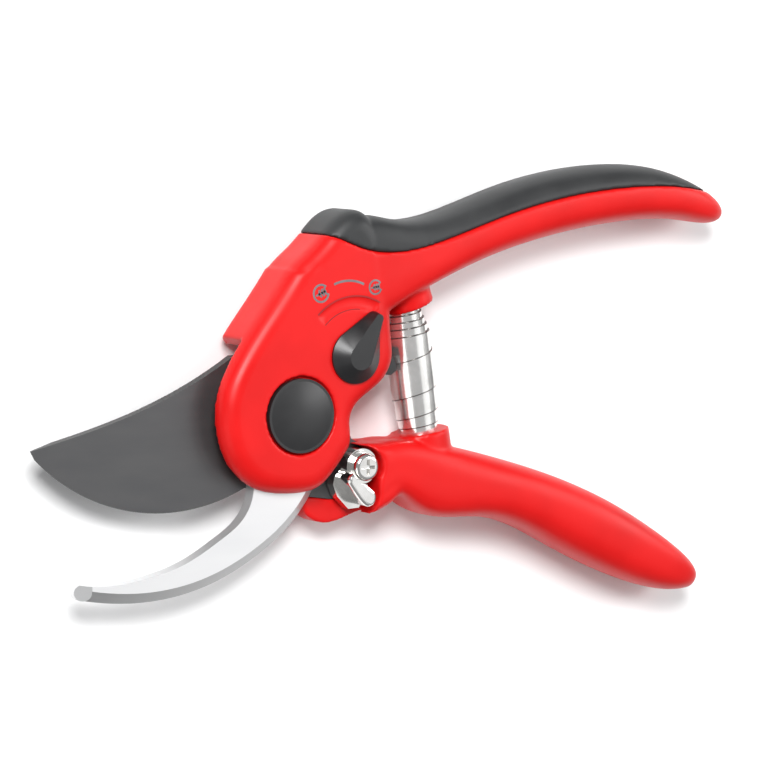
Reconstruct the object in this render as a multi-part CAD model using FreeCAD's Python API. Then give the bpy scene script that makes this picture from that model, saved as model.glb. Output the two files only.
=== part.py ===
"""Bypass pruning shears, lying flat with the front side up.  Sizes are in millimetres.

The pivot axis is the Z axis and the back cap of the pivot rests on Z = 0.  The jaws point to -X,
the handles to +X, and the upper handle is on the +Y side.  The shears are modelled open.
"""
import FreeCAD
import Part

import math
import os

V = FreeCAD.Vector

# ---- levels along Z, from the resting plane to the front ------------------------------------
REST_Z = 0.0
CHEEK_BACK_Z = 1.2
SLOT_BACK_Z = 6.7
BLADE_BACK_Z = 7.0
BLADE_FRONT_Z = 9.95
HOOK_BACK_Z = 10.0
HOOK_FRONT_Z = 14.0
FACE_Z = 19.0
GRIP_MID_Z = 9.5
RUNNING_GAP = 0.05
PRESS_GAP = 0.02

# ---- pivot ----------------------------------------------------------------------------------
PIVOT_R = 5.0
BUSH_R = 7.0
BOLT_HEAD_R = 7.0
BOLT_SEAT_Z = 15.0
NUT_ACROSS_FLATS = 12.0
NUT_SEAT_Z = 4.2
NUT_HEIGHT = 3.0
NUT_CAP_R = 9.5
CAP_R = 9.5
CAP_RECESS_R = 10.1
CAP_SEAT_Z = 17.5
CAP_TOP_Z = 20.4
CAP_DOME = 1.4
BACK_CHEEK_R = 16.5
HUB_R = 16.0

# ---- head and arm of the upper handle, outlines as (x, y) -----------------------------------
HEAD_OUTLINE = [
    (-4.2, 34.4), (-12.2, 23.6), (-18.6, 14.0), (-22.3, 5.0), (-22.3, -3.5), (-18.6, -12.6),
    (-11.0, -18.6), (-1.0, -20.3), (7.4, -18.9), (13.2, -13.2), (16.6, -7.4), (16.6, -0.6),
    (20.0, 3.6), (25.8, 7.8), (28.8, 13.6), (28.4, 20.0), (27.8, 26.5), (26.8, 33.0),
    (26.0, 41.0), (23.0, 48.0), (17.6, 52.0), (11.8, 50.2), (6.2, 44.5),
]
HEAD_FRONT_ROUND = 4.8
HEAD_BACK_ROUND = 4.0
UPPER_ARM = [
    # top point, bottom point, back level, front level, squareness
    ((20.5, 49.8), (24.5, 23.5), 1.3, 18.9, 4.5),
    ((27.5, 49.6), (35.0, 29.2), 1.0, 19.0, 4.3),
    ((37.0, 49.3), (44.0, 33.2), 0.5, 19.0, 3.5),
    ((47.0, 51.5), (52.0, 36.3), 0.1, 19.0, 2.9),
    ((60.0, 56.0), (65.0, 40.7), 0.0, 19.0, 2.6),
    ((76.0, 60.6), (80.0, 44.5), 0.0, 19.0, 2.6),
    ((92.0, 63.1), (94.0, 47.0), 0.0, 19.0, 2.6),
    ((106.0, 63.4), (107.0, 48.4), 0.2, 18.8, 2.6),
    ((118.0, 61.5), (117.5, 48.7), 0.8, 18.2, 2.6),
    ((127.5, 58.1), (126.5, 48.0), 1.9, 17.1, 2.6),
    ((133.8, 54.9), (133.0, 47.4), 3.9, 15.1, 2.5),
    ((137.3, 52.0), (137.0, 48.4), 6.6, 12.4, 2.3),
]
SLOT_R = 17.3
SLOT_JAW_SIDE = [(0, 17.3), (-12.6, 17.5), (-15.0, 19.6), (-30.0, 19.6), (-30.0, -30.0), (0, -30.0)]
SLOT_HANDLE_SIDE = [(0, -30.0), (0, 0), (14.0, 9.0), (20.0, 6.5), (40.0, 16.0), (40.0, -30.0)]
BACK_RELIEF = [
    (0, 16.5), (-12.6, 17.5), (-15.0, 19.6), (-30.0, 19.6), (-30.0, -30.0), (40.0, -30.0),
    (40.0, 15.0), (24.0, 9.0), (16.0, 3.0), (0, 0),
]

# ---- soft grip and the rib that carries it --------------------------------------------------
GRIP_EDGE = [
    (3.6, 45.4), (8.0, 45.6), (15.5, 43.0), (25.3, 41.1), (35.3, 42.1), (55.3, 48.1),
    (75.3, 53.8), (95.5, 57.0), (111.5, 57.8), (133.0, 55.6),
]
GRIP_ZONE_LID = [(145.0, 56.0), (145.0, 80.0), (-20.0, 80.0), (-20.0, 46.0)]
GRIP_RIB = [
    (12.0, 40.0), (10.0, 44.0), (14.0, 49.0), (22.0, 47.5), (34.0, 46.2), (46.0, 47.8),
    (60.0, 52.5), (76.0, 57.0), (92.0, 59.6), (106.0, 60.0), (118.0, 58.4), (122.0, 55.0),
    (106.0, 53.0), (76.0, 48.0), (46.0, 38.0), (28.0, 36.0),
]
GRIP_RIB_HALF = 5.5

# ---- lower handle ---------------------------------------------------------------------------
LOWER_ARM = [
    # top point, bottom point, back level, front level, squareness
    ((26.5, -8.1), (24.0, -25.9), 0.5, 18.5, 5.0),
    ((40.0, -8.6), (37.0, -25.6), 0.3, 18.7, 4.2),
    ((52.0, -11.0), (47.5, -29.1), 0.1, 18.9, 3.2),
    ((64.0, -14.0), (58.5, -29.6), 0.0, 19.0, 2.7),
    ((76.0, -17.5), (70.0, -32.4), 0.0, 19.0, 2.6),
    ((90.0, -22.5), (83.0, -38.6), 0.0, 19.0, 2.6),
    ((104.0, -28.9), (96.0, -44.9), 0.1, 18.9, 2.6),
    ((115.0, -35.2), (107.5, -49.5), 0.5, 18.5, 2.6),
    ((123.4, -40.7), (117.0, -52.3), 1.5, 17.5, 2.6),
    ((129.0, -45.2), (124.2, -53.2), 3.2, 15.8, 2.5),
    ((131.8, -48.6), (129.2, -53.0), 6.0, 13.0, 2.3),
]
LOWER_ROOT_OUTLINE = [
    (21.8, -8.2), (26.0, -8.2), (32.0, -9.6), (35.0, -15.0), (32.5, -21.0), (27.0, -25.0),
    (20.5, -27.4), (15.0, -29.0), (9.6, -28.2), (6.6, -25.2), (7.6, -19.0), (14.0, -11.0),
]
LOWER_ROUND = 3.0
LOWER_FRONT_Z = 18.4
LOWER_BACK_Z = 0.6
HEAD_ROOM_R = 20.9
CHEEK_ROOM_R = 17.0

# ---- blade and hook -------------------------------------------------------------------------
BLADE_TIP = (-71.7, -6.9)
BLADE_EDGE = ((-70.6, -9.1), (-35.0, -24.05), (-11.2, -18.75))
BLADE_SPINE = [(-60.0, -4.0), (-45.0, 0.5), (-35.0, 4.3), (-25.0, 9.0), (-15.0, 14.9)]
BLADE_TANG = [
    (15.9, 1.8), (20.5, -7.5), (30.0, -12.6), (46.0, -15.5), (46.0, -21.8), (30.0, -21.8),
    (24.0, -22.6), (14.0, -22.8), (4.0, -21.4),
]
BLADE_BEVEL = 7.0
BLADE_EDGE_LAND = 0.25
HOOK_INNER = [
    (-59.4, -40.4), (-50.0, -40.9), (-40.0, -39.5), (-30.0, -36.5), (-20.0, -31.0),
    (-14.0, -26.4), (-11.3, -21.5), (-10.6, -16.0), (-9.0, -9.0),
]
HOOK_OUTER = [
    (10.0, -9.0), (8.2, -19.0), (0.6, -29.2), (-10.0, -37.0), (-20.0, -41.9), (-30.0, -44.8),
    (-40.0, -46.0), (-50.0, -45.7), (-58.6, -44.4),
]
HOOK_TIP = (-60.7, -42.3)
HOOK_CHAMFER_WIDE = 2.8
HOOK_CHAMFER_DEEP = 2.4
HOOK_TIP_SLOPE_X = -56.5
HOOK_TIP_SLOPE_LENGTH = 6.0
HOOK_TIP_SLOPE_DROP = 2.6
HOOK_TANG = [(-9.0, 10.0), (-6.5, 25.0), (-1.5, 31.5), (4.0, 34.0), (8.5, 30.0), (9.0, 12.0)]

# ---- rivets that hold the steel in the handles ----------------------------------------------
RIVET_R = 2.0
RIVET_HEAD_R = 3.1
RIVET_HEAD_HEIGHT = 1.1
RIVET_HEAD_Z = 3.2
RIVET_HEAD_GAP = 0.1
HOOK_RIVETS = [(-3.0, 22.5), (1.5, 30.0)]
BLADE_RIVETS = [(32.0, -18.0), (41.0, -19.0)]

# ---- thumb latch ----------------------------------------------------------------------------
LATCH_X = 20.0
LATCH_Y = -14.0
LATCH_HUB_R = 4.6
LATCH_BACK_Z = 10.4
LATCH_HUB_TOP_Z = 16.2
LATCH_PAD_TOP_Z = 19.4
LATCH_PAWL_TOP_Z = 13.6
LATCH_SCREW_R = 2.0
LATCH_SCREW_HEAD_R = 3.6
LATCH_SCREW_TOP_Z = 19.2
LATCH_ROOM = 0.7
LATCH_INSERT_R = 3.2
LATCH_INSERT_Z = 2.5
LATCH_TOOTH_R = 19.2
LATCH_PAD = [
    (14.9, -15.9), (17.3, -15.2), (19.9, -18.3), (22.6, -20.9), (22.5, -23.1), (20.6, -24.2),
    (18.0, -22.6), (15.4, -19.4),
]
LATCH_PAWL = [
    (20.8, -25.0), (17.6, -25.2), (14.2, -21.8), (12.9, -18.7), (13.3, -16.7), (15.2, -14.6),
    (18.4, -12.8), (21.6, -18.0), (22.2, -22.8),
]
LATCH_POCKET = [
    (12.0, -8.0), (19.0, -8.6), (24.6, -13.4), (24.2, -17.2), (24.4, -21.0), (23.4, -25.4),
    (20.0, -31.0), (3.0, -31.0), (3.0, -12.0),
]
LATCH_POCKET_Z = HOOK_BACK_Z - 0.35

# ---- adjuster dial --------------------------------------------------------------------------
DIAL_X = 15.6
DIAL_Y = 14.7
DIAL_R = 7.0
DIAL_FACET_R = 3.3
DIAL_FOOT = 0.6
DIAL_TOP_Z = 22.4
DIAL_SHAFT_R = 3.0
DIAL_SHAFT_TOP_Z = 21.0
DIAL_CAM_R = 4.0
DIAL_CAM_ROOM = 1.2
DIAL_CAM_OFFSET = (0.4, 0.7)
DIAL_POINTER_ANGLE = 62.0
DIAL_POINTER_LENGTH = 12.8
DIAL_POINTER_R = 1.9
DIAL_RIDGE_LENGTH = 12.2
DIAL_RIDGE_R = 1.1
DIAL_WASHER_Z = 4.0
DIAL_WASHER_R = 4.6
DIAL_SCREW_R = 1.5
DIAL_SCREW_HEAD_R = 3.0
DIAL_SCALE_INNER_R = 12.2
DIAL_SCALE_OUTER_R = 15.4
DIAL_SCALE_ANGLES = (62.0, 95.0, 137.0)
DIAL_SCALE_DEPTH = 0.5
DETENT_R = 1.0
DETENT_RADIUS = 4.7
DETENT_X = DIAL_X - 3.2
DETENT_Y = DIAL_Y + 3.4
DETENT_DEPTH = 5.0

# ---- return spring and closing bumper -------------------------------------------------------
SPRING_TOP = V(36.4, 26.6, GRIP_MID_Z)
SPRING_BOTTOM = V(41.4, -6.1, GRIP_MID_Z)
SPRING_TOP_ROOT = V(35.4, 34.0, GRIP_MID_Z)
SPRING_BOTTOM_ROOT = V(43.0, -15.0, GRIP_MID_Z)
SPRING_TURNS = 7
SPRING_END_R = 4.0
SPRING_MID_R = 5.9
SPRING_WALL = 0.9
SPRING_POST_R = 2.4
SPRING_POST_LENGTH = 5.0
UPPER_SEAT_R = 6.4
UPPER_SEAT_END = V(38.0, 26.4, GRIP_MID_Z)
UPPER_SEAT_ROOT = V(34.6, 35.2, GRIP_MID_Z)
LOWER_SEAT_R = 7.9
BUMPER_OUTLINE = [
    (24.5, 12.0), (26.0, 16.0), (31.0, 13.4), (32.0, 11.4), (31.8, 10.0), (30.4, 9.0), (27.4, 9.2),
]
BUMPER_LOW_Z = 6.0
BUMPER_HIGH_Z = 13.0


# ---- helpers --------------------------------------------------------------------------------
def at(point, z):
    """Lift an (x, y) pair to height z."""
    return V(point[0], point[1], z)


def on_circle(radius, degrees, z=0.0, centre=(0.0, 0.0)):
    turn = math.radians(degrees)
    return V(centre[0] + radius * math.cos(turn), centre[1] + radius * math.sin(turn), z)


def spline(points, closed=False):
    curve = Part.BSplineCurve()
    curve.interpolate(points, PeriodicFlag=closed)
    return curve.toShape()


def extrude(wire, z_low, z_high):
    return Part.Face(wire).extrude(V(0, 0, z_high - z_low))


def smooth_slab(outline, z_low, z_high):
    """A slab whose outline is one closed smooth curve."""
    return extrude(inset_wire(outline, 0.0, z_low), z_low, z_high)


def inset_wire(outline, inset, z, arcs=6, density=3):
    """The outline as one smooth closed wire of several arcs, moved inwards by inset."""
    curve = Part.BSplineCurve()
    curve.interpolate([at(point, 0) for point in outline], PeriodicFlag=True)
    first, last = curve.FirstParameter, curve.LastParameter
    side = -1 if clockwise(outline) else 1
    count = density * len(outline) // arcs * arcs
    points, tangents = [], []
    for step in range(count + 1):
        u = first + (last - first) * step / count
        along = curve.tangent(u if step < count else first)[0]
        spot = curve.value(u) + V(-along.y, along.x, 0) * side * inset
        points.append(V(spot.x, spot.y, z))
        tangents.append(along)
    points[-1] = points[0]
    edges = []
    for start in range(0, count, count // arcs):
        end = start + count // arcs
        piece = Part.BSplineCurve()
        piece.interpolate(points[start:end + 1], InitialTangent=tangents[start],
                          FinalTangent=tangents[end])
        edges.append(piece.toShape())
    return Part.Wire(edges)


def clockwise(outline):
    area = 0.0
    for (x0, y0), (x1, y1) in zip(outline, outline[1:] + outline[:1]):
        area += x0 * y1 - x1 * y0
    return area < 0


def rounded_slab(outline, z_low, z_high, radius_low, radius_high, steps=5):
    """A slab whose long edges are rounded off, made of thin bands between inset outlines."""
    levels = []
    for step in range(steps + 1):
        turn = math.radians(90.0 * step / steps)
        levels.append((radius_low * (1 - math.sin(turn)), z_low + radius_low * (1 - math.cos(turn))))
    for step in range(steps, -1, -1):
        turn = math.radians(90.0 * step / steps)
        levels.append((radius_high * (1 - math.sin(turn)), z_high - radius_high * (1 - math.cos(turn))))
    return Part.makeLoft([inset_wire(outline, inset, z) for inset, z in levels], True, True)


def polygon_slab(outline, z_low, z_high):
    points = [at(point, z_low) for point in outline]
    return extrude(Part.makePolygon(points + points[:1]), z_low, z_high)


def rod(x, y, radius, z_low, z_high):
    return Part.makeCylinder(radius, z_high - z_low, V(x, y, z_low))


def rod_between(start, end, radius):
    return Part.makeCylinder(radius, (end - start).Length, start, end - start)


def ring(x, y, inner, outer, z_low, z_high):
    return rod(x, y, outer, z_low, z_high).cut(rod(x, y, inner, z_low, z_high))


def hexagon(x, y, across_flats, z_low, z_high):
    corner = across_flats / math.sqrt(3.0)
    points = [on_circle(corner, 60 * side, 0, (x, y)) for side in range(6)]
    return polygon_slab([(p.x, p.y) for p in points], z_low, z_high)


def flat_edges(shape, z):
    """The edges of a shape that lie wholly in the plane at height z."""
    return [e for e in shape.Edges
            if abs(e.BoundBox.ZMin - z) < 1e-4 and abs(e.BoundBox.ZMax - z) < 1e-4]


def round_off(shape, z, radius):
    return shape.makeFillet(radius, flat_edges(shape, z))


def oval_section(top, bottom, back, front, squareness, count=16):
    """A closed rounded section that stands on the line from top to bottom."""
    middle = 0.5 * (back + front)
    centre = (at(top, middle) + at(bottom, middle)) * 0.5
    across = at(top, middle) - centre
    power = 2.0 / squareness
    points = []
    for step in range(count):
        turn = 2 * math.pi * step / count
        u = math.copysign(abs(math.cos(turn)) ** power, math.cos(turn))
        w = math.copysign(abs(math.sin(turn)) ** power, math.sin(turn))
        points.append(centre + across * u + V(0, 0, 0.5 * (front - back) * w))
    return Part.Wire([spline(points, closed=True)])


def arm(stations):
    return Part.makeLoft([oval_section(*station) for station in stations], True, False)


def phillips_cross(x, y, z_low, z_high, half_length, half_width):
    bars = []
    for size_x, size_y in ((half_length, half_width), (half_width, half_length)):
        bars.append(Part.makeBox(2 * size_x, 2 * size_y, z_high - z_low,
                                 V(x - size_x, y - size_y, z_low)))
    return bars[0].fuse(bars[1])


# ---- cutting parts --------------------------------------------------------------------------
def blade_profile():
    """Straight hub and tang, a round cutting edge and a gently bowed spine."""
    edge_start, edge_mid, edge_end = [at(point, BLADE_BACK_Z) for point in BLADE_EDGE]
    tip = at(BLADE_TIP, BLADE_BACK_Z)
    cutting_edge = Part.Arc(edge_start, edge_mid, edge_end).toShape()
    spine_end = at(BLADE_SPINE[-1], BLADE_BACK_Z)
    hub_end = at(BLADE_TANG[0], BLADE_BACK_Z)
    spine = spline([tip] + [at(point, BLADE_BACK_Z) for point in BLADE_SPINE])
    hub_start = on_circle(HUB_R, 110, BLADE_BACK_Z)
    shoulder = Part.makeLine(spine_end, hub_start)
    hub = Part.Arc(hub_start, on_circle(HUB_R, 55, BLADE_BACK_Z), hub_end).toShape()
    tang = Part.makePolygon([at(point, BLADE_BACK_Z) for point in BLADE_TANG]).Edges
    heel = Part.makeLine(at(BLADE_TANG[-1], BLADE_BACK_Z), edge_end)
    nose = Part.makeLine(tip, edge_start)
    edges = [cutting_edge, nose, spine, shoulder, hub, heel] + tang
    return Part.Wire(Part.__sortEdges__(edges))


def is_cutting_edge(edge):
    middle = at(BLADE_EDGE[1], BLADE_BACK_Z)
    return edge.distToShape(Part.Vertex(middle))[0] < 0.01 and edge.Length > 30


def make_blade():
    body = extrude(blade_profile(), BLADE_BACK_Z, BLADE_FRONT_Z)
    edge = [e for e in flat_edges(body, BLADE_BACK_Z) if is_cutting_edge(e)]
    bevelled = body.makeChamfer(BLADE_FRONT_Z - BLADE_BACK_Z - BLADE_EDGE_LAND, BLADE_BEVEL, edge)
    holes = [rod(0, 0, BUSH_R, 0, FACE_Z), rod(LATCH_X, LATCH_Y, LATCH_SCREW_R + 0.3, 0, FACE_Z)]
    holes += [rod(x, y, RIVET_R, 0, FACE_Z) for x, y in BLADE_RIVETS]
    return bevelled.cut(holes)


def hook_profile(z):
    inner = spline([at(point, z) for point in HOOK_INNER])
    outer = spline([at(point, z) for point in HOOK_OUTER])
    inner_tip = at(HOOK_INNER[0], z)
    outer_tip = at(HOOK_OUTER[-1], z)
    nose = Part.Arc(outer_tip, at(HOOK_TIP, z), inner_tip).toShape()
    root = Part.makeLine(at(HOOK_INNER[-1], z), at(HOOK_OUTER[0], z))
    return Part.Wire(Part.__sortEdges__([inner, nose, outer, root]))


def latch_tooth():
    """The catch on the hub's rim: the latch's pawl drops in above it when the jaws are shut."""
    corners = [on_circle(HUB_R - 1, -25.5), on_circle(LATCH_TOOTH_R, -26.5),
               on_circle(LATCH_TOOTH_R, -32), on_circle(HUB_R - 1, -36)]
    return polygon_slab([(corner.x, corner.y) for corner in corners], HOOK_BACK_Z, HOOK_FRONT_Z)


def hook_tip_slope():
    """A wedge that takes the front of the hook down towards its tip."""
    start_x, end_x = HOOK_TIP_SLOPE_X, HOOK_TIP_SLOPE_X - HOOK_TIP_SLOPE_LENGTH
    low_y = HOOK_TIP[1] - 10
    corners = [
        V(start_x, low_y, HOOK_FRONT_Z), V(end_x, low_y, HOOK_FRONT_Z - HOOK_TIP_SLOPE_DROP),
        V(end_x, low_y, HOOK_FRONT_Z + 1), V(start_x, low_y, HOOK_FRONT_Z + 1),
    ]
    return Part.Face(Part.makePolygon(corners + corners[:1])).extrude(V(0, 20, 0))


def make_hook():
    """The counter blade: a curved jaw, a hub, a tang inside the head and a tooth for the latch."""
    jaw = extrude(hook_profile(HOOK_BACK_Z), HOOK_BACK_Z, HOOK_FRONT_Z)
    middle = Part.Vertex(at(HOOK_OUTER[4], HOOK_FRONT_Z))
    outer = [e for e in flat_edges(jaw, HOOK_FRONT_Z) if e.distToShape(middle)[0] < 0.01]
    jaw = jaw.makeChamfer(HOOK_CHAMFER_DEEP, HOOK_CHAMFER_WIDE, outer[:1])
    hub = rod(0, 0, HUB_R, HOOK_BACK_Z, HOOK_FRONT_Z)
    tang = polygon_slab(HOOK_TANG, HOOK_BACK_Z, HOOK_FRONT_Z)
    tooth = latch_tooth()
    hook = jaw.fuse([hub, tang, tooth])
    cuts = [rod(0, 0, PIVOT_R + PRESS_GAP, 0, FACE_Z),
            rod(DIAL_X, DIAL_Y, DIAL_CAM_R + DIAL_CAM_ROOM, 0, FACE_Z)]
    cuts += [rod(x, y, RIVET_R, 0, FACE_Z) for x, y in HOOK_RIVETS]
    cuts.append(hook_tip_slope())
    return hook.cut(cuts).removeSplitter()


# ---- upper handle and what is fixed to it ---------------------------------------------------
def upper_solids():
    """The head, the arm and the spring seat, before the slot and the recesses are cut."""
    head = rounded_slab(HEAD_OUTLINE, CHEEK_BACK_Z, FACE_Z, HEAD_BACK_ROUND, HEAD_FRONT_ROUND)
    return [head, arm(UPPER_ARM), rod_between(UPPER_SEAT_END, UPPER_SEAT_ROOT, UPPER_SEAT_R)]


def grip_zone():
    """Everything above the line where the soft grip meets the hard handle."""
    edge = [at(point, REST_Z - 1) for point in GRIP_EDGE]
    lid = [at(point, REST_Z - 1) for point in GRIP_ZONE_LID]
    around = Part.makePolygon([edge[-1]] + lid + [edge[0]])
    wire = Part.Wire(Part.__sortEdges__([spline(edge)] + around.Edges))
    return extrude(wire, REST_Z - 1, FACE_Z + 2)


def grip_rib():
    """The hard rib of the upper handle that carries the soft grip."""
    return smooth_slab(GRIP_RIB, GRIP_MID_Z - GRIP_RIB_HALF, GRIP_MID_Z + GRIP_RIB_HALF)


def blade_slot():
    """The open slot in the head that the hub, the blade and the lower handle's tang move in."""
    disc = rod(0, 0, SLOT_R, SLOT_BACK_Z, HOOK_FRONT_Z)
    jaw_side = polygon_slab(SLOT_JAW_SIDE, SLOT_BACK_Z, HOOK_FRONT_Z)
    handle_side = polygon_slab(SLOT_HANDLE_SIDE, SLOT_BACK_Z, HOOK_FRONT_Z)
    return disc.fuse([jaw_side, handle_side])


def back_relief():
    """What is cut from the back so that only a round cheek is left behind the blade."""
    zone = polygon_slab(BACK_RELIEF, REST_Z - 1, SLOT_BACK_Z + 0.5)
    return zone.cut(rod(0, 0, BACK_CHEEK_R, REST_Z - 1, SLOT_BACK_Z + 0.5))


def pivot_recesses():
    cap_recess = rod(0, 0, CAP_RECESS_R, HOOK_FRONT_Z + 3.4, FACE_Z + 3)
    head_recess = rod(0, 0, BOLT_HEAD_R + 0.6, BOLT_SEAT_Z, FACE_Z)
    bore = rod(0, 0, PIVOT_R + PRESS_GAP, REST_Z, FACE_Z)
    nut_recess = rod(0, 0, nut_corner_radius() + 0.4, REST_Z, NUT_SEAT_Z)
    return [cap_recess, head_recess, bore, nut_recess]


def nut_corner_radius():
    return NUT_ACROSS_FLATS / math.sqrt(3.0)


def dial_recesses():
    shaft = rod(DIAL_X, DIAL_Y, DIAL_SHAFT_R + RUNNING_GAP, REST_Z, FACE_Z + 3)
    cam = rod(DIAL_X, DIAL_Y, DIAL_CAM_R + DIAL_CAM_ROOM, SLOT_BACK_Z, HOOK_BACK_Z)
    screw = rod(DIAL_X, DIAL_Y, DIAL_WASHER_R + 0.3, REST_Z, DIAL_WASHER_Z)
    detent = rod(DETENT_X, DETENT_Y, DETENT_R + 0.1, FACE_Z - DETENT_DEPTH, FACE_Z)
    return [shaft, cam, screw, detent, dial_scale()]


def dial_scale():
    """The shallow sector beside the dial that shows how far it turns."""
    floor_z = FACE_Z - DIAL_SCALE_DEPTH
    band = ring(DIAL_X, DIAL_Y, DIAL_SCALE_INNER_R, DIAL_SCALE_OUTER_R, floor_z, FACE_Z + 1)
    spokes = [on_circle(2 * DIAL_SCALE_OUTER_R, angle, 0, (DIAL_X, DIAL_Y))
              for angle in DIAL_SCALE_ANGLES]
    wedge = [(DIAL_X, DIAL_Y)] + [(spoke.x, spoke.y) for spoke in spokes]
    return band.common(polygon_slab(wedge, floor_z, FACE_Z + 1))


def make_upper_handle(solids):
    zone = grip_zone()
    hard = [solid.cut(zone) for solid in solids]
    body = hard[0].fuse(hard[1:] + [grip_rib()])
    body = body.cut([blade_slot(), back_relief()])
    inside_web = body.common(polygon_slab(HOOK_TANG, HOOK_BACK_Z, HOOK_FRONT_Z))
    body = body.cut(inside_web) if inside_web.Volume > 0 else body
    post = rod_between(SPRING_TOP + spring_axis() * SPRING_POST_LENGTH, SPRING_TOP_ROOT,
                       SPRING_POST_R)
    body = body.fuse(post)
    cuts = pivot_recesses() + dial_recesses()
    cuts += rivet_holes(HOOK_RIVETS, HOOK_FRONT_Z + 3)
    cuts.append(make_close_bumper())
    return largest_solid(body.cut(cuts))


def spring_axis():
    return (SPRING_BOTTOM - SPRING_TOP).normalize()


def make_soft_grip(solids):
    """The soft saddle over the back of the head and arm, hollow where the rib carries it."""
    zone = grip_zone()
    soft = [solid.common(zone) for solid in solids[:2]]
    return largest_solid(soft[0].fuse(soft[1]).cut(grip_rib()))


def largest_solid(shape):
    return max(shape.Solids, key=lambda solid: solid.Volume)


def make_pivot_bolt():
    head = rod(0, 0, BOLT_HEAD_R, BOLT_SEAT_Z + 0.6, BOLT_SEAT_Z + 2.6)
    head = round_off(head, BOLT_SEAT_Z + 2.6, 0.8)
    shank = rod(0, 0, PIVOT_R, NUT_SEAT_Z - NUT_HEIGHT, BOLT_SEAT_Z + 0.6)
    slot = Part.makeBox(20, 1.6, 1.0, V(-10, -0.8, BOLT_SEAT_Z + 1.6))
    return head.fuse(shank).cut(slot).removeSplitter()


def make_pivot_washer():
    return ring(0, 0, PIVOT_R + 0.1, BOLT_HEAD_R + 0.4, BOLT_SEAT_Z, BOLT_SEAT_Z + 0.6)


def make_pivot_nut():
    nut = hexagon(0, 0, NUT_ACROSS_FLATS, NUT_SEAT_Z - NUT_HEIGHT, NUT_SEAT_Z)
    return nut.cut(rod(0, 0, PIVOT_R, REST_Z, FACE_Z))


def make_pivot_cap():
    """The domed button that hides the head of the pivot bolt."""
    base = rod(0, 0, CAP_R, CAP_SEAT_Z, FACE_Z + 0.2)
    sphere_r = (CAP_R ** 2 + CAP_DOME ** 2) / (2 * CAP_DOME)
    dome = Part.makeSphere(sphere_r, V(0, 0, CAP_TOP_Z - sphere_r))
    button = rod(0, 0, CAP_R, CAP_SEAT_Z, CAP_TOP_Z + 1).common(dome)
    cap = base.fuse(button).removeSplitter()
    hollow = rod(0, 0, BOLT_HEAD_R + 0.3, CAP_SEAT_Z - 1, CAP_SEAT_Z + 0.9)
    return cap.cut(hollow)


def make_nut_cap():
    """The flat back cover of the pivot nut, which the shears rest on."""
    cover = rod(0, 0, NUT_CAP_R, REST_Z, CHEEK_BACK_Z)
    cover = round_off(cover, REST_Z, 0.6)
    skirt = rod(0, 0, nut_corner_radius() + 0.35, REST_Z + 0.3, NUT_SEAT_Z - 0.1)
    hollow_z = NUT_SEAT_Z - NUT_HEIGHT - 0.1
    hollow = hexagon(0, 0, NUT_ACROSS_FLATS + PRESS_GAP, hollow_z, NUT_SEAT_Z + 1)
    return cover.fuse(skirt).cut([hollow, rod(0, 0, PIVOT_R, hollow_z, FACE_Z)])


def make_rivets(places, z_high):
    """Flat-headed pins put in from the back, one at each place."""
    rivets = []
    for x, y in places:
        head = rod(x, y, RIVET_HEAD_R, RIVET_HEAD_Z, RIVET_HEAD_Z + RIVET_HEAD_HEIGHT)
        rivets.append(rod(x, y, RIVET_R, RIVET_HEAD_Z, z_high).fuse(head).removeSplitter())
    return Part.makeCompound(rivets)


def rivet_holes(places, z_high):
    holes = []
    head_top_z = RIVET_HEAD_Z + RIVET_HEAD_HEIGHT + RIVET_HEAD_GAP
    for x, y in places:
        holes.append(rod(x, y, RIVET_R, RIVET_HEAD_Z, z_high))
        holes.append(rod(x, y, RIVET_HEAD_R + RIVET_HEAD_GAP, REST_Z, head_top_z))
    return holes


def make_close_bumper():
    """The rubber block under the head that stops the handles when they close."""
    return polygon_slab(BUMPER_OUTLINE, BUMPER_LOW_Z, BUMPER_HIGH_Z)


def make_detent_ball():
    return Part.makeSphere(DETENT_R, V(DETENT_X, DETENT_Y, FACE_Z - 0.65))


def make_detent_spring():
    coil = rod(DETENT_X, DETENT_Y, DETENT_R, FACE_Z - DETENT_DEPTH + 0.1, FACE_Z - 1.75)
    return coil.cut(rod(DETENT_X, DETENT_Y, DETENT_R - 0.35, FACE_Z - DETENT_DEPTH, FACE_Z - 1))


def make_return_spring(handles):
    """The outer shape of a strip wound into a barrel, with a stepped edge for each turn."""
    length = (SPRING_BOTTOM - SPRING_TOP).Length
    step = length / SPRING_TURNS
    outer = []
    for turn in range(SPRING_TURNS):
        swell = math.sin(math.pi * (turn + 0.5) / SPRING_TURNS)
        radius = SPRING_END_R + (SPRING_MID_R - SPRING_END_R) * swell
        outer += [V(radius, 0, turn * step), V(radius, 0, (turn + 1) * step)]
    bore = SPRING_END_R - SPRING_WALL
    profile = outer + [V(bore, 0, length), V(bore, 0, 0)]
    face = Part.Face(Part.makePolygon(profile + profile[:1]))
    barrel = face.revolve(V(0, 0, 0), V(0, 0, 1), 360)
    barrel.Placement = FreeCAD.Placement(
        SPRING_TOP, FreeCAD.Rotation(V(0, 0, 1), spring_axis()))
    return largest_solid(barrel.cut(handles))


# ---- lower handle and what is fixed to it ---------------------------------------------------
def lower_outside():
    root = rounded_slab(LOWER_ROOT_OUTLINE, LOWER_BACK_Z, LOWER_FRONT_Z, LOWER_ROUND, LOWER_ROUND)
    seat = rod_between(SPRING_BOTTOM, SPRING_BOTTOM_ROOT, LOWER_SEAT_R)
    return root.fuse([arm(LOWER_ARM), seat])


def latch_pocket():
    """Room for the latch: open towards the head, and round behind the latch screw."""
    pocket = smooth_slab(LATCH_POCKET, LATCH_POCKET_Z, FACE_Z + 3)
    return pocket.fuse(rod(LATCH_X, LATCH_Y, LATCH_HUB_R + LATCH_ROOM, LATCH_POCKET_Z, FACE_Z + 3))


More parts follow.
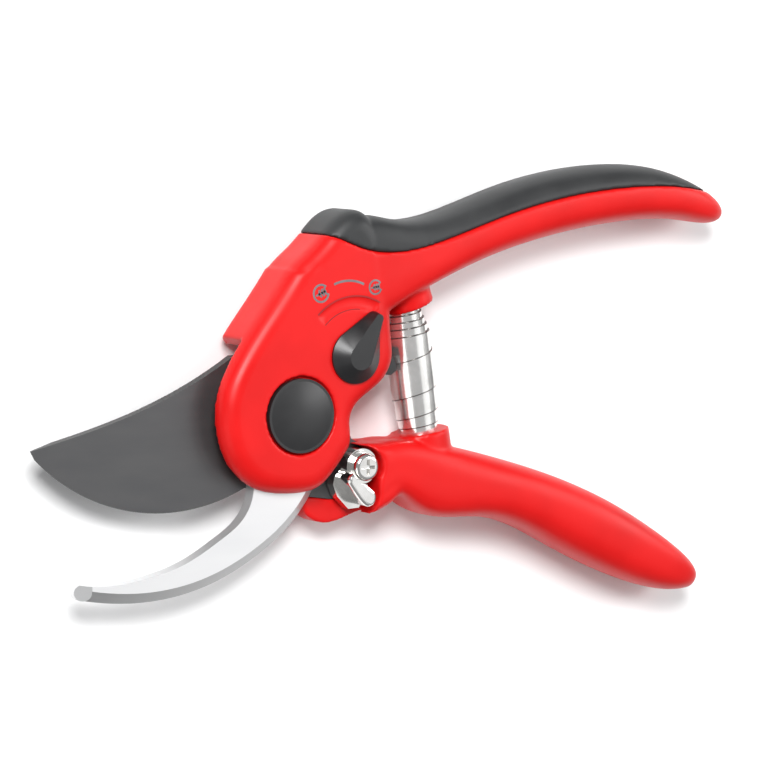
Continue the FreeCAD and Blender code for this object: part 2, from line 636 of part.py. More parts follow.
def make_lower_handle(blade):
    body = lower_outside()
    head_room = rod(0, 0, HEAD_ROOM_R, LATCH_POCKET_Z, FACE_Z + 3)
    cheek_room = rod(0, 0, CHEEK_ROOM_R, REST_Z - 1, FACE_Z)
    body = body.cut([head_room, cheek_room, latch_pocket()])
    post = rod_between(SPRING_BOTTOM - spring_axis() * SPRING_POST_LENGTH, SPRING_BOTTOM_ROOT,
                       SPRING_POST_R)
    body = body.fuse(post)
    cuts = [blade, rod(LATCH_X, LATCH_Y, LATCH_INSERT_R, LATCH_INSERT_Z, BLADE_BACK_Z)]
    cuts += rivet_holes(BLADE_RIVETS, BLADE_FRONT_Z + 4)
    return largest_solid(body.cut(cuts))


def make_pivot_bush():
    return ring(0, 0, PIVOT_R + RUNNING_GAP, BUSH_R, BLADE_BACK_Z, BLADE_FRONT_Z)


def make_latch_insert():
    return ring(LATCH_X, LATCH_Y, LATCH_SCREW_R, LATCH_INSERT_R, LATCH_INSERT_Z, BLADE_BACK_Z)


def make_latch_washer():
    return ring(LATCH_X, LATCH_Y, LATCH_SCREW_R + 0.1, LATCH_HUB_R - 0.4,
                LATCH_HUB_TOP_Z + 0.05, LATCH_HUB_TOP_Z + 0.6)


def pan_head_screw(x, y, head_radius, seat_z, head_top_z, shank_radius, shank_end_z):
    """A pan-head screw along Z with a cross recess; its shank ends on either side of the head."""
    outward = 1 if head_top_z > seat_z else -1
    low, high = sorted((seat_z, head_top_z))
    head = round_off(rod(x, y, head_radius, low, high), head_top_z, 0.3 * (high - low) + 0.5)
    shank_low, shank_high = sorted((shank_end_z, seat_z + outward * 0.2))
    shank = rod(x, y, shank_radius, shank_low, shank_high)
    cross_low, cross_high = sorted((head_top_z - outward * 1.3, head_top_z + outward))
    cross = phillips_cross(x, y, cross_low, cross_high, 0.55 * head_radius, 0.45)
    return head.fuse(shank).cut(cross).removeSplitter()


def make_latch_screw():
    return pan_head_screw(LATCH_X, LATCH_Y, LATCH_SCREW_HEAD_R, LATCH_HUB_TOP_Z + 0.6,
                          LATCH_SCREW_TOP_Z, LATCH_SCREW_R, LATCH_INSERT_Z + 0.3)


# ---- thumb latch ----------------------------------------------------------------------------
def make_thumb_latch():
    """A cast lever with a raised thumb pad and a low pawl that reaches towards the hub."""
    hub = rod(LATCH_X, LATCH_Y, LATCH_HUB_R, LATCH_BACK_Z, LATCH_HUB_TOP_Z)
    pad = rounded_slab(LATCH_PAD, LATCH_BACK_Z, LATCH_PAD_TOP_Z, 0.3, 1.0)
    pad = pad.cut(rod(LATCH_X, LATCH_Y, LATCH_HUB_R, LATCH_HUB_TOP_Z, FACE_Z + 3))
    pawl = polygon_slab(LATCH_PAWL, LATCH_BACK_Z, LATCH_PAWL_TOP_Z)
    latch = hub.fuse([pad, pawl]).removeSplitter()
    bore = rod(LATCH_X, LATCH_Y, LATCH_SCREW_R + RUNNING_GAP, REST_Z, FACE_Z + 3)
    return largest_solid(latch.cut(bore))


# ---- adjuster dial --------------------------------------------------------------------------
def teardrop(z, base_radius, tip_radius, length):
    """A round base drawn out to a small round tip that points along the dial's pointer."""
    centre = (DIAL_X, DIAL_Y)
    reach = length - tip_radius
    tip = on_circle(reach, DIAL_POINTER_ANGLE, 0, centre)
    lean = math.degrees(math.acos((base_radius - tip_radius) / reach))
    first, last = DIAL_POINTER_ANGLE - lean, DIAL_POINTER_ANGLE + lean
    base = [on_circle(base_radius, angle, z, centre)
            for angle in (last, DIAL_POINTER_ANGLE + 180, first)]
    nose = [on_circle(tip_radius, angle, z, (tip.x, tip.y))
            for angle in (first, DIAL_POINTER_ANGLE, last)]
    edges = [
        Part.Arc(*base).toShape(),
        Part.makeLine(base[2], nose[0]),
        Part.Arc(*nose).toShape(),
        Part.makeLine(nose[2], base[0]),
    ]
    return Part.Wire(edges)


def make_adjuster_knob():
    """A teardrop with sloping sides and a narrow flat ridge along its top."""
    foot_z = FACE_Z + 0.1
    knob = Part.makeLoft([
        teardrop(foot_z, DIAL_R, DIAL_POINTER_R, DIAL_POINTER_LENGTH),
        teardrop(foot_z + DIAL_FOOT, DIAL_R, DIAL_POINTER_R, DIAL_POINTER_LENGTH),
        teardrop(DIAL_TOP_Z, DIAL_FACET_R, DIAL_RIDGE_R, DIAL_RIDGE_LENGTH),
    ], True, True)
    detent_groove = ring(DIAL_X, DIAL_Y, DETENT_RADIUS - 1.2, DETENT_RADIUS + 1.2,
                         FACE_Z, FACE_Z + 0.75)
    socket = rod(DIAL_X, DIAL_Y, DIAL_SHAFT_R, FACE_Z, DIAL_SHAFT_TOP_Z)
    return knob.cut([detent_groove, socket])


def make_adjuster_shaft():
    """The dial's shaft, with an eccentric cam that stands beside the blade's hub."""
    shaft = rod(DIAL_X, DIAL_Y, DIAL_SHAFT_R, DIAL_WASHER_Z - 0.2, DIAL_SHAFT_TOP_Z)
    cam = rod(DIAL_X + DIAL_CAM_OFFSET[0], DIAL_Y + DIAL_CAM_OFFSET[1], DIAL_CAM_R - 0.2,
              BLADE_BACK_Z, BLADE_FRONT_Z)
    thread = rod(DIAL_X, DIAL_Y, DIAL_SCREW_R, REST_Z, DIAL_WASHER_Z + 8)
    return shaft.fuse(cam).cut(thread).removeSplitter()


def make_adjuster_washer():
    return ring(DIAL_X, DIAL_Y, DIAL_SCREW_R + 0.1, DIAL_WASHER_R,
                DIAL_WASHER_Z - 0.8, DIAL_WASHER_Z - 0.2)


def make_adjuster_screw():
    return pan_head_screw(DIAL_X, DIAL_Y, DIAL_SCREW_HEAD_R, DIAL_WASHER_Z - 0.8,
                          CHEEK_BACK_Z + 0.3, DIAL_SCREW_R, DIAL_WASHER_Z + 7)


# ---- the assembly ---------------------------------------------------------------------------
def make_all():
    blade = make_blade()
    hook = make_hook()
    upper = upper_solids()
    upper_handle = make_upper_handle(upper)
    lower_handle = make_lower_handle(blade)
    return {
        "upper_handle": upper_handle,
        "soft_grip": make_soft_grip(upper),
        "hook": hook,
        "hook_rivets": make_rivets(HOOK_RIVETS, HOOK_FRONT_Z + 2.5),
        "pivot_bolt": make_pivot_bolt(),
        "pivot_washer": make_pivot_washer(),
        "pivot_nut": make_pivot_nut(),
        "pivot_cap": make_pivot_cap(),
        "nut_cap": make_nut_cap(),
        "close_bumper": make_close_bumper(),
        "detent_ball": make_detent_ball(),
        "detent_spring": make_detent_spring(),
        "return_spring": make_return_spring([upper_handle, lower_handle]),
        "lower_handle": lower_handle,
        "blade": blade,
        "blade_rivets": make_rivets(BLADE_RIVETS, BLADE_FRONT_Z + 3.5),
        "pivot_bush": make_pivot_bush(),
        "latch_insert": make_latch_insert(),
        "latch_washer": make_latch_washer(),
        "latch_screw": make_latch_screw(),
        "thumb_latch": make_thumb_latch(),
        "adjuster_knob": make_adjuster_knob(),
        "adjuster_shaft": make_adjuster_shaft(),
        "adjuster_washer": make_adjuster_washer(),
        "adjuster_screw": make_adjuster_screw(),
    }


def main():
    os.makedirs("parts", exist_ok=True)
    for name, shape in make_all().items():
        valid = shape.isValid()
        print(f"{name:16s} solids {len(shape.Solids)} valid {valid} volume {shape.Volume:9.1f}")
        shape.exportStep(f"parts/{name}.step")


main()
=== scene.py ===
"""Looks of the bypass pruning shears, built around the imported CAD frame.

Shapes are written in millimetres and scaled by MM when they become meshes.  The camera, the lights
and the floor are placed in metres.  Noise scales are in cycles per metre and angles in degrees.
"""

import math

import bmesh
import bpy
from mathutils import Matrix, Vector


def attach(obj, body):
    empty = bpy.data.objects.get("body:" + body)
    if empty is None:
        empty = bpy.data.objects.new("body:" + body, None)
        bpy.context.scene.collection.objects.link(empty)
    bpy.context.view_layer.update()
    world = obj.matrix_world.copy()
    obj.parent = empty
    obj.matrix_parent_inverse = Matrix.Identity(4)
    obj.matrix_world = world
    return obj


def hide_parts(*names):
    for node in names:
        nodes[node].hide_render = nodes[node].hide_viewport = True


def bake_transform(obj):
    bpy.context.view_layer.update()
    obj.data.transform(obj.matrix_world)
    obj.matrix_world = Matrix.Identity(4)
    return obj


MM = 0.001
MICRON = 0.000001

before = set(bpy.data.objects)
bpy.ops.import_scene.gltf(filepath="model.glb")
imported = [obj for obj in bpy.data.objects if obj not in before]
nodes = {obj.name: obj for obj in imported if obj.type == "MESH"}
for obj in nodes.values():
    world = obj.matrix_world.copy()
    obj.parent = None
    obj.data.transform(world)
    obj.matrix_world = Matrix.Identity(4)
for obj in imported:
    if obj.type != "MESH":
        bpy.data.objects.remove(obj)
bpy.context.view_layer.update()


# ---- camera, lights and floor ---------------------------------------------------------------
CAMERA_PLACE = Vector((-0.4595, 0.0866, 0.7888))
CAMERA_RIGHT = Vector((0.84723, 0.01628, 0.53097))
CAMERA_UP = Vector((0.03237, 0.99609, -0.08220))
CAMERA_BACK = Vector((-0.53024, 0.08683, 0.84339))
CAMERA_LENS = 166.64
CAMERA_SENSOR = 36.0
CAMERA_REACH = 20.0

# Each light has a name, a place, a width and height, and a power in watts.
LIGHT_AIM = Vector((0.03, 0.0, 0.01))
LIGHTS = (
    ("key", (-0.45, 0.55, 0.90), (0.45, 0.40), 14.5),
    ("fill", (-0.95, -0.45, 0.55), (0.60, 0.60), 1.6),
    ("painted_rim_shade", (0.75, 0.25, 0.55), (0.30, 0.80), 3.5),
    ("sheen", (0.66, -0.10, 1.02), (0.75, 0.75), 1.1),
)

# The surroundings go from the low colour at the horizon to the high one at SKY_FULL_AT.
WORLD_STRENGTH = 0.36
SKY_LOW = (0.20, 0.20, 0.21)
SKY_HIGH = (0.98, 0.99, 1.0)
SKY_FULL_AT = 0.45

FLOOR_HALF = 4.0
FLOOR_DROP = 0.2 * MM


def add_camera():
    data = bpy.data.cameras.new("camera")
    data.lens = CAMERA_LENS
    data.sensor_width = CAMERA_SENSOR
    data.clip_end = CAMERA_REACH
    camera = bpy.data.objects.new("camera", data)
    turn = Matrix((CAMERA_RIGHT, CAMERA_UP, CAMERA_BACK)).transposed()
    camera.matrix_world = Matrix.Translation(CAMERA_PLACE) @ turn.to_4x4()
    bpy.context.scene.collection.objects.link(camera)
    bpy.context.scene.camera = camera


def add_area_light(name, place, size, power):
    data = bpy.data.lights.new(name, "AREA")
    data.shape = "RECTANGLE"
    data.size, data.size_y = size
    data.energy = power
    light = bpy.data.objects.new(name, data)
    light.location = place
    light.rotation_euler = (LIGHT_AIM - Vector(place)).to_track_quat("-Z", "Y").to_euler()
    bpy.context.scene.collection.objects.link(light)


def add_lights():
    for name, place, size, power in LIGHTS:
        add_area_light(name, place, size, power)


def add_world():
    """Soft even surroundings that are darker low down, so that polished metal shows contrast."""
    world = bpy.data.worlds.new("studio")
    world.use_nodes = True
    tree_nodes, links = world.node_tree.nodes, world.node_tree.links
    background = tree_nodes["Background"]
    background.inputs["Strength"].default_value = WORLD_STRENGTH
    coords = tree_nodes.new("ShaderNodeTexCoord")
    split = tree_nodes.new("ShaderNodeSeparateXYZ")
    links.new(coords.outputs["Generated"], split.inputs["Vector"])
    sky = colour_ramp(tree_nodes, links, split.outputs["Z"], SKY_LOW, SKY_HIGH, 0.0, SKY_FULL_AT)
    links.new(sky, background.inputs["Color"])
    bpy.context.scene.world = world
    bpy.context.scene.view_settings.view_transform = "Standard"


def add_floor():
    half = FLOOR_HALF
    corners = [(-half, -half, 0), (half, -half, 0), (half, half, 0), (-half, half, 0)]
    mesh = bpy.data.meshes.new("floor")
    mesh.from_pydata(corners, [], [(0, 1, 2, 3)])
    floor = bpy.data.objects.new("floor", mesh)
    floor.location.z = -FLOOR_DROP
    bpy.context.scene.collection.objects.link(floor)
    floor.data.materials.append(floor_material())


# ---- material nodes -------------------------------------------------------------------------
# Noise values gather around one half, so only the middle of their range is spread over a result.
TONE_SPREAD = (0.35, 0.65)
ROUGH_SPREAD = (0.3, 0.7)


def noise(tree_nodes, links, scale, detail, roughness, stretch):
    """Noise in the object's own coordinates."""
    coords = tree_nodes.new("ShaderNodeTexCoord")
    mapping = tree_nodes.new("ShaderNodeMapping")
    mapping.inputs["Scale"].default_value = stretch
    texture = tree_nodes.new("ShaderNodeTexNoise")
    texture.inputs["Scale"].default_value = scale
    texture.inputs["Detail"].default_value = detail
    texture.inputs["Roughness"].default_value = roughness
    links.new(coords.outputs["Object"], mapping.inputs["Vector"])
    links.new(mapping.outputs["Vector"], texture.inputs["Vector"])
    return texture.outputs["Fac"]


def colour_ramp(tree_nodes, links, source, low, high, start, end):
    ramp = tree_nodes.new("ShaderNodeValToRGB")
    ramp.color_ramp.elements[0].position = start
    ramp.color_ramp.elements[1].position = end
    ramp.color_ramp.elements[0].color = (*low, 1.0)
    ramp.color_ramp.elements[1].color = (*high, 1.0)
    links.new(source, ramp.inputs["Fac"])
    return ramp.outputs["Color"]


def roughness_range(tree_nodes, links, source, low, high):
    mapper = tree_nodes.new("ShaderNodeMapRange")
    mapper.inputs["From Min"].default_value = ROUGH_SPREAD[0]
    mapper.inputs["From Max"].default_value = ROUGH_SPREAD[1]
    mapper.inputs["To Min"].default_value = low
    mapper.inputs["To Max"].default_value = high
    links.new(source, mapper.inputs["Value"])
    return mapper.outputs["Result"]


def bump(tree_nodes, links, source, shader, strength, depth):
    node = tree_nodes.new("ShaderNodeBump")
    node.inputs["Strength"].default_value = strength
    node.inputs["Distance"].default_value = depth
    links.new(source, node.inputs["Height"])
    links.new(node.outputs["Normal"], shader.inputs["Normal"])


def finish_material(name, low, high, rough, scale, grain, metallic=0.0, specular=0.5,
                    bump_depth=20 * MICRON, bump_strength=0.3, stretch=(1.0, 1.0, 1.0)):
    """Two close tones, a roughness that wanders with them, and a fine surface grain."""
    material = bpy.data.materials.new(name)
    material.use_nodes = True
    tree_nodes, links = material.node_tree.nodes, material.node_tree.links
    shader = tree_nodes["Principled BSDF"]
    shader.inputs["Metallic"].default_value = metallic
    shader.inputs["Specular IOR Level"].default_value = specular
    tone = noise(tree_nodes, links, scale, detail=3.0, roughness=0.5, stretch=stretch)
    colour = colour_ramp(tree_nodes, links, tone, low, high, *TONE_SPREAD)
    links.new(colour, shader.inputs["Base Color"])
    links.new(roughness_range(tree_nodes, links, tone, *rough), shader.inputs["Roughness"])
    fine = noise(tree_nodes, links, grain, detail=2.0, roughness=0.6, stretch=stretch)
    bump(tree_nodes, links, fine, shader, bump_strength, bump_depth)
    return material


def multiply_colour(material, shade):
    """Multiplies a material's base colour by a second colour."""
    tree_nodes, links = material.node_tree.nodes, material.node_tree.links
    shader = tree_nodes["Principled BSDF"]
    mix = tree_nodes.new("ShaderNodeMixRGB")
    mix.blend_type = "MULTIPLY"
    mix.inputs["Fac"].default_value = 1.0
    links.new(shader.inputs["Base Color"].links[0].from_socket, mix.inputs["Color1"])
    links.new(shade, mix.inputs["Color2"])
    links.new(mix.outputs["Color"], shader.inputs["Base Color"])


# The upward part of a face's normal tells an upright wall from a slanted face and a flat one.
WALL_UP_TO = 0.30
SLOPE_FROM = 0.45
SLOPE_UP_TO = 0.88
FLAT_FROM = 0.97


def upward_part(tree_nodes, links):
    """How far a face looks up along the object's own Z."""
    geometry = tree_nodes.new("ShaderNodeNewGeometry")
    transform = tree_nodes.new("ShaderNodeVectorTransform")
    transform.vector_type = "NORMAL"
    transform.convert_from, transform.convert_to = "WORLD", "OBJECT"
    split = tree_nodes.new("ShaderNodeSeparateXYZ")
    links.new(geometry.outputs["True Normal"], transform.inputs["Vector"])
    links.new(transform.outputs["Vector"], split.inputs["Vector"])
    return split.outputs["Z"]


def grey(value):
    return (value, value, value, 1.0)


def paint_shade_by_facing(material, wall, slope):
    """Multiplies the colour of upright walls and of slanted faces by painted shade; flat faces keep
    theirs.
    """
    tree_nodes, links = material.node_tree.nodes, material.node_tree.links
    facing = upward_part(tree_nodes, links)
    shade = tree_nodes.new("ShaderNodeValToRGB")
    stops = shade.color_ramp.elements
    stops[0].position, stops[0].color = WALL_UP_TO, grey(wall)
    stops[1].position, stops[1].color = FLAT_FROM, grey(1.0)
    for place in (SLOPE_FROM, SLOPE_UP_TO):
        stops.new(place).color = grey(slope)
    links.new(facing, shade.inputs["Fac"])
    multiply_colour(material, shade.outputs["Color"])
    return material


# ---- materials ------------------------------------------------------------------------------
def floor_material():
    return finish_material("floor_paper", (0.95, 0.95, 0.95), (0.98, 0.98, 0.98),
                           rough=(0.55, 0.70), scale=6.0, grain=900.0,
                           bump_depth=50 * MICRON, bump_strength=0.05)


def red_plastic():
    return finish_material("red_plastic", (0.61, 0.004, 0.004), (0.68, 0.006, 0.006),
                           rough=(0.34, 0.44), scale=55.0, grain=4500.0, specular=0.26,
                           bump_depth=10 * MICRON, bump_strength=0.22)


def soft_rubber():
    return finish_material("soft_rubber", (0.016, 0.017, 0.018), (0.024, 0.025, 0.026),
                           rough=(0.46, 0.56), scale=90.0, grain=5200.0, bump_strength=0.35)


def coated_blade_steel():
    steel = finish_material("coated_blade_steel", (0.098, 0.098, 0.101), (0.108, 0.108, 0.110),
                            rough=(0.40, 0.43), scale=160.0, grain=7000.0, metallic=0.7,
                            bump_depth=8 * MICRON, stretch=(0.3, 1.0, 1.0))
    # Painted shade: the blade's upright walls are darkened strongly, its slanted faces a little.
    return paint_shade_by_facing(steel, wall=0.25, slope=0.9)


def satin_hook_steel():
    steel = finish_material("satin_hook_steel", (0.78, 0.78, 0.79), (0.86, 0.86, 0.86),
                            rough=(0.30, 0.38), scale=60.0, grain=5000.0, metallic=0.72,
                            bump_depth=5 * MICRON, bump_strength=0.15, stretch=(0.25, 1.0, 1.0))
    # Painted shade: the hook's slanted chamfer faces are darkened, its upright walls a little.
    return paint_shade_by_facing(steel, wall=0.92, slope=0.55)


def bright_plate():
    return finish_material("bright_plate", (0.74, 0.73, 0.71), (0.86, 0.85, 0.83),
                           rough=(0.10, 0.18), scale=200.0, grain=2500.0, metallic=1.0,
                           bump_depth=10 * MICRON, bump_strength=0.15)


def spring_plate():
    """Bright plating with painted shade along the strip's two rims, where the turns lie over each
    other.
    """
    material = finish_material("spring_plate", (0.86, 0.85, 0.83), (0.95, 0.94, 0.92),
                               rough=(0.16, 0.24), scale=200.0, grain=2500.0, metallic=0.9,
                               bump_depth=10 * MICRON, bump_strength=0.1)
    tree_nodes, links = material.node_tree.nodes, material.node_tree.links
    # This attribute carries painted shade onto the strip's rims, where the turns lie over each
    # other.
    painted_rim_shade = tree_nodes.new("ShaderNodeAttribute")
    painted_rim_shade.attribute_name = "painted_rim_shade"
    shade = colour_ramp(tree_nodes, links, painted_rim_shade.outputs["Fac"], low=(1.0, 1.0, 1.0),
                        high=(0.10, 0.095, 0.09), start=0.1, end=0.9)
    multiply_colour(material, shade)
    return material


def plain_steel():
    return finish_material("plain_steel", (0.42, 0.42, 0.43), (0.55, 0.55, 0.56),
                           rough=(0.30, 0.42), scale=220.0, grain=4200.0, metallic=1.0,
                           bump_depth=10 * MICRON)


def black_plastic():
    return finish_material("black_plastic", (0.015, 0.015, 0.016), (0.019, 0.019, 0.020),
                           rough=(0.34, 0.38), scale=120.0, grain=5200.0,
                           bump_depth=10 * MICRON, bump_strength=0.25)


def gloss_black():
    return finish_material("gloss_black", (0.009, 0.009, 0.010), (0.015, 0.015, 0.016),
                           rough=(0.30, 0.38), scale=120.0, grain=5200.0,
                           bump_depth=8 * MICRON, bump_strength=0.2)


# Dark red for the painted shadows along the groove edges of the dial scale.
def groove_shadow_red():
    return finish_material("groove_shadow_red", (0.30, 0.002, 0.003), (0.38, 0.003, 0.004),
                           rough=(0.5, 0.6), scale=150.0, grain=5200.0)


def bronze():
    return finish_material("sintered_bronze", (0.48, 0.32, 0.15), (0.62, 0.43, 0.21),
                           rough=(0.35, 0.50), scale=300.0, grain=6000.0, metallic=1.0)


def mark_ink():
    return finish_material("mark_ink", (0.14, 0.13, 0.14), (0.20, 0.19, 0.20),
                           rough=(0.5, 0.6), scale=300.0, grain=6000.0)


def paint(material, *names):
    for name in names:
        mesh = nodes[name].data
        mesh.materials.clear()
        mesh.materials.append(material)


def paint_all():
    """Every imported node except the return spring, which the wound strip replaces."""
    paint(red_plastic(), "upper_handle", "lower_handle")
    paint(soft_rubber(), "soft_grip")
    paint(coated_blade_steel(), "blade")
    paint(satin_hook_steel(), "hook")
    paint(bright_plate(), "latch_screw", "latch_washer", "thumb_latch", "detent_ball")
    paint(plain_steel(), "hook_rivets", "pivot_bolt", "pivot_washer", "pivot_nut", "detent_spring",
          "blade_rivets", "adjuster_shaft", "adjuster_washer", "adjuster_screw")
    paint(black_plastic(), "pivot_cap", "nut_cap", "close_bumper")
    paint(gloss_black(), "adjuster_knob")
    paint(bronze(), "pivot_bush", "latch_insert")


# ---- mesh helpers ---------------------------------------------------------------------------
def piece_from(name, points, faces, material, smooth=True):
    """A mesh object from points in millimetres."""
    mesh = bpy.data.meshes.new(name)
    mesh.from_pydata([tuple(c * MM for c in point) for point in points], [], faces)
    mesh.update()
    cleaner = bmesh.new()
    cleaner.from_mesh(mesh)
    bmesh.ops.recalc_face_normals(cleaner, faces=cleaner.faces)
    cleaner.to_mesh(mesh)
    cleaner.free()
    mesh.materials.append(material)
    for polygon in mesh.polygons:
        polygon.use_smooth = smooth
    made = bpy.data.objects.new(name, mesh)
    bpy.context.scene.collection.objects.link(made)
    return made


def tube_faces(rings, around):
    """Quads between consecutive rings of points, and a cap on both ends."""
    faces = []
    for ring in range(rings - 1):
        for side in range(around):
            near, far = ring * around + side, ring * around + (side + 1) % around
            faces.append((near, far, far + around, near + around))
    faces.append(tuple(range(around)))
    faces.append(tuple(range((rings - 1) * around, rings * around)))
    return faces


def between(values, position):
    """Straight-line reading of an evenly spaced list at a position counted in steps."""
    step = min(int(position), len(values) - 2)
    share = position - step
    return values[step] * (1 - share) + values[step + 1] * share


# ---- return spring --------------------------------------------------------------------------
# The two lists have one value per turn: how far along the axis from SPRING_TOP the strip's nearer
# edge is, and the strip's outer radius.
SPRING_TOP = Vector((36.2, 26.6, 9.5))
SPRING_BOTTOM = Vector((41.4, -6.1, 9.5))
SPRING_IN_SEAT = 3.0
STRIP_EDGE_AT = [-6.0, -3.0, 0.4, 2.2, 3.9, 5.6, 7.6, 14.6, 20.0, 22.4, 24.4, 26.2, 28.6, 31.0]
STRIP_RADII = [3.3, 3.6, 4.1, 4.6, 5.1, 5.6, 6.05, 6.1, 5.6, 5.2, 4.8, 4.4, 4.0, 3.6]
STRIP_WIDTH = 9.6
STRIP_THICK = 0.42
STRIP_RIM = 0.16
STEPS_PER_TURN = 40

# How much painted shade each of the eight points of strip_section takes, from bright 0 to dark 1.
RIM_PAINTED_SHADE = [1.0, 1.0, 0.8, 0.0, 0.0, 0.8, 1.0, 1.0]


def spring_frame():
    axis = (SPRING_BOTTOM - SPRING_TOP).normalized()
    side = axis.cross(Vector((0, 0, 1))).normalized()
    return axis, side, axis.cross(side)


def strip_section(edge):
    """Eight points around the strip's cut: distance along the axis, and thicknesses inwards."""
    length = (SPRING_BOTTOM - SPRING_TOP).length
    low = max(edge, -SPRING_IN_SEAT)
    high = min(edge + STRIP_WIDTH, length + SPRING_IN_SEAT)
    return ((low, 1), (low, 0), (low + STRIP_RIM, 0), (low + 2 * STRIP_RIM, 0),
            (high - 2 * STRIP_RIM, 0), (high - STRIP_RIM, 0), (high, 0), (high, 1))


def strip_ring(position):
    """The points of one cut through the strip, at a position counted in turns."""
    axis, side, up = spring_frame()
    angle = 2 * math.pi * position
    outward = side * math.cos(angle) + up * math.sin(angle)
    radius = between(STRIP_RADII, position)
    section = strip_section(between(STRIP_EDGE_AT, position))
    return [SPRING_TOP + axis * reach + outward * (radius - depth * STRIP_THICK)
            for reach, depth in section]


def add_return_spring(material):
    """A flat strip wound so that every turn slides over the next smaller one."""
    rings = (len(STRIP_EDGE_AT) - 1) * STEPS_PER_TURN + 1
    points = []
    for ring in range(rings):
        points += strip_ring(ring / STEPS_PER_TURN)
    spring = piece_from("spring_strip", points, tube_faces(rings, len(RIM_PAINTED_SHADE)), material)
    # Painted shade: the strip's rim points are marked dark, for the shade between the turns.
    painted_rim_shade = spring.data.attributes.new("painted_rim_shade", "FLOAT", "POINT")
    painted_rim_shade.data.foreach_set("value", RIM_PAINTED_SHADE * rings)
    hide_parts("return_spring")
    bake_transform(spring)


# ---- moulded look of the handles, and small bevels ------------------------------------------
# A join is a box, given by two corners, around the place where an arm runs into its head.
UPPER_JOIN = ((24.0, 26.5, -5.0), (38.0, 40.0, 25.0))
GRIP_JOIN = ((22.0, 43.6, -5.0), (38.0, 60.0, 25.0))
LOWER_JOIN = ((29.5, -32.0, -5.0), (52.0, -13.0, 25.0))
JOIN_ROUNDS = 12
SKIN_VOXEL = 0.5
SKIN_ROUNDS = 6
RELAX_SHARE = 0.5

BEVEL_WIDTHS = {"thumb_latch": 0.5, "adjuster_knob": 0.45, "latch_screw": 0.2}
BEVEL_SEGMENTS = 3
BEVEL_ABOVE_ANGLE = 35


def inside(spot, region):
    low, high = region
    return all(low[axis] <= spot[axis] / MM <= high[axis] for axis in range(3))


def even_skin(part):
    """A copy of a part's mesh, where it stands, with an even and slightly relaxed skin."""
    remesh = part.modifiers.new("even_skin", "REMESH")
    remesh.mode = "VOXEL"
    remesh.voxel_size = SKIN_VOXEL * MM
    relax = part.modifiers.new("relaxed_skin", "SMOOTH")
    relax.factor = RELAX_SHARE
    relax.iterations = SKIN_ROUNDS
    bpy.context.view_layer.update()
    evaluated = part.evaluated_get(bpy.context.evaluated_depsgraph_get())
    mesh = bpy.data.meshes.new_from_object(evaluated)
    part.modifiers.clear()
    mesh.transform(part.matrix_world)
    return mesh


def smooth_join(mesh, region):
    skin = bmesh.new()
    skin.from_mesh(mesh)
    join = [vertex for vertex in skin.verts if inside(vertex.co, region)]
    for _ in range(JOIN_ROUNDS):
        bmesh.ops.smooth_vert(skin, verts=join, factor=RELAX_SHARE, use_axis_x=True,
                              use_axis_y=True, use_axis_z=True)
    skin.to_mesh(mesh)
    skin.free()


def moulded_skin(name, body, region):
    """A relaxed copy of a moulded part, with a smooth root to its arm, in the part's place."""
    mesh = even_skin(nodes[name])
    smooth_join(mesh, region)
    mesh.shade_smooth()
    made = bpy.data.objects.new(name + "_skin", mesh)
    bpy.context.scene.collection.objects.link(made)
    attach(made, body)
    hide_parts(name)


def add_bevels():
    for name, width in BEVEL_WIDTHS.items():
        bevel = nodes[name].modifiers.new("soft_edges", "BEVEL")
        bevel.width = width * MM
        bevel.segments = BEVEL_SEGMENTS
        bevel.limit_method = "ANGLE"
        bevel.angle_limit = math.radians(BEVEL_ABOVE_ANGLE)


# ---- printed marks and painted groove shadows on the face of the head -----------------------
MARK_LOW = 19.0
MARK_HIGH = 19.04

# A twig picture has a centre, a ring radius and a lean.  A LINE is the width of its strokes.
WIDE_TWIG = ((5.2, 31.0), 2.2, 25.0)
WIDE_TWIG_LINE = 0.55
NARROW_TWIG = ((21.4, 32.3), 1.8, 10.0)
NARROW_TWIG_LINE = 0.48

# Lengths inside a twig picture are shares of its ring radius.
RING_HALF_GAP = 25
RING_STROKES = 18
STEM_FROM = 0.7
STEM_TO = 0.75
FORKS_AT = (-0.3, 0.1, 0.45)
FORK_ALONG = 0.25
FORK_ACROSS = 0.45

# An arc has a centre, a radius, a first and a last angle, and a number of strokes.
DIAL_CENTRE = (15.6, 14.7)
SCALE_ARC = ((13.4, 22.9), 11.2, 66, 113, 12)
SCALE_ARC_LINE = 0.6
# The rim and the inner line of the dial scale are painted shadows of its groove edges.
SCALE_RIM = (DIAL_CENTRE, 15.5, 62, 136, 24)
SCALE_RIM_LINE = 0.42
SCALE_INNER = (DIAL_CENTRE, 12.1, 84, 138, 18)
SCALE_INNER_LINE = 0.28


def flat_bar(start, end, width):
    """The eight corners of a thin bar that lies on the face."""
    along = (Vector(end) - Vector(start)).normalized()
    across = Vector((-along.y, along.x)) * width / 2
    corners = []
    for level in (MARK_LOW, MARK_HIGH):
        for spot, sign in ((start, 1), (start, -1), (end, -1), (end, 1)):
            corners.append((spot[0] + sign * across.x, spot[1] + sign * across.y, level))
    return corners


def bar_faces(first):
    """The six faces of a bar whose corners start at a given place in the list of points."""
    quads = [(0, 1, 2, 3), (4, 5, 6, 7), (0, 1, 5, 4), (1, 2, 6, 5), (2, 3, 7, 6), (3, 0, 4, 7)]
    return [tuple(first + corner for corner in quad) for quad in quads]


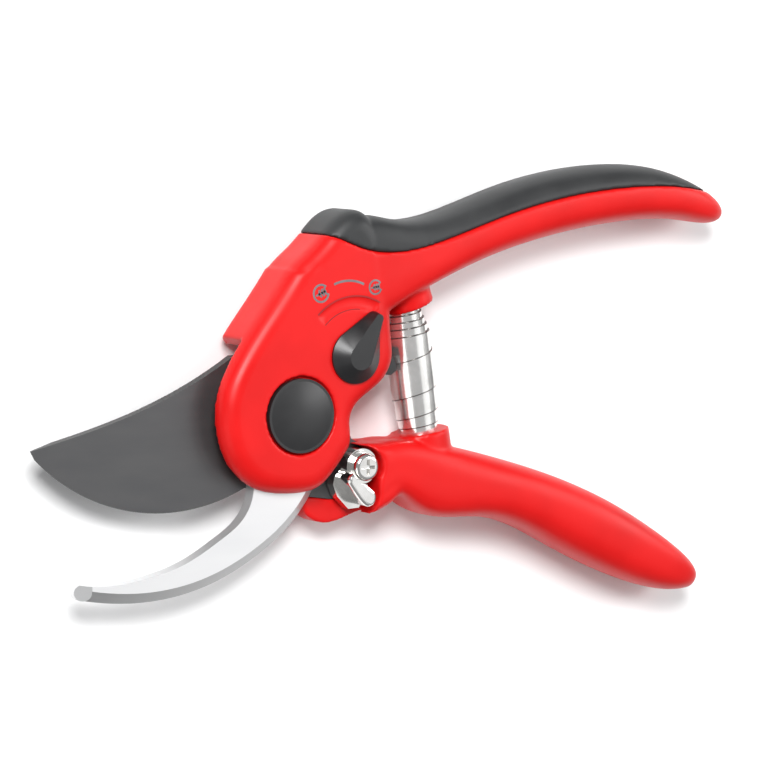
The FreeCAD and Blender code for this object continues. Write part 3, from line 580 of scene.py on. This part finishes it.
def add_strokes(name, strokes, width, material):
    points, faces = [], []
    for start, end in strokes:
        faces += bar_faces(len(points))
        points += flat_bar(start, end, width)
    mark = piece_from(name, points, faces, material, smooth=False)
    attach(mark, "upper_handle")


def arc_strokes(centre, radius, first, last, count):
    angles = [math.radians(first + (last - first) * k / count) for k in range(count + 1)]
    spots = [(centre[0] + radius * math.cos(a), centre[1] + radius * math.sin(a)) for a in angles]
    return list(zip(spots[:-1], spots[1:]))


def twig_strokes(centre, size, lean):
    """A little forked twig inside an open ring."""
    strokes = arc_strokes(centre, size, lean + RING_HALF_GAP, lean + 360 - RING_HALF_GAP,
                          RING_STROKES)
    turn = math.radians(lean)
    along = Vector((math.cos(turn), math.sin(turn))) * size
    across = Vector((-along.y, along.x))
    middle = Vector(centre)
    strokes.append((middle - along * STEM_FROM, middle + along * STEM_TO))
    for share in FORKS_AT:
        fork = middle + along * share
        tip = fork + along * FORK_ALONG
        strokes.append((fork, tip + across * FORK_ACROSS))
        strokes.append((fork, tip - across * FORK_ACROSS))
    return [(tuple(start), tuple(end)) for start, end in strokes]


def add_marks():
    """Two generic pictures of twigs, an arc between them, and painted shadows along the rims of the
    dial scale's groove.
    """
    ink, shade = mark_ink(), groove_shadow_red()
    add_strokes("wide_cut_mark", twig_strokes(*WIDE_TWIG), WIDE_TWIG_LINE, ink)
    add_strokes("narrow_cut_mark", twig_strokes(*NARROW_TWIG), NARROW_TWIG_LINE, ink)
    add_strokes("scale_arc", arc_strokes(*SCALE_ARC), SCALE_ARC_LINE, ink)
    # Painted shadow: dark red strokes where the dial scale's groove edges fall into shade.
    add_strokes("scale_rim_shadow", arc_strokes(*SCALE_RIM), SCALE_RIM_LINE, shade)
    add_strokes("scale_line_shadow", arc_strokes(*SCALE_INNER), SCALE_INNER_LINE, shade)


add_world()
add_lights()
add_camera()
add_floor()
paint_all()
add_return_spring(spring_plate())
add_marks()
moulded_skin("upper_handle", "upper_handle", UPPER_JOIN)
moulded_skin("soft_grip", "upper_handle", GRIP_JOIN)
moulded_skin("lower_handle", "lower_handle", LOWER_JOIN)
add_bevels()
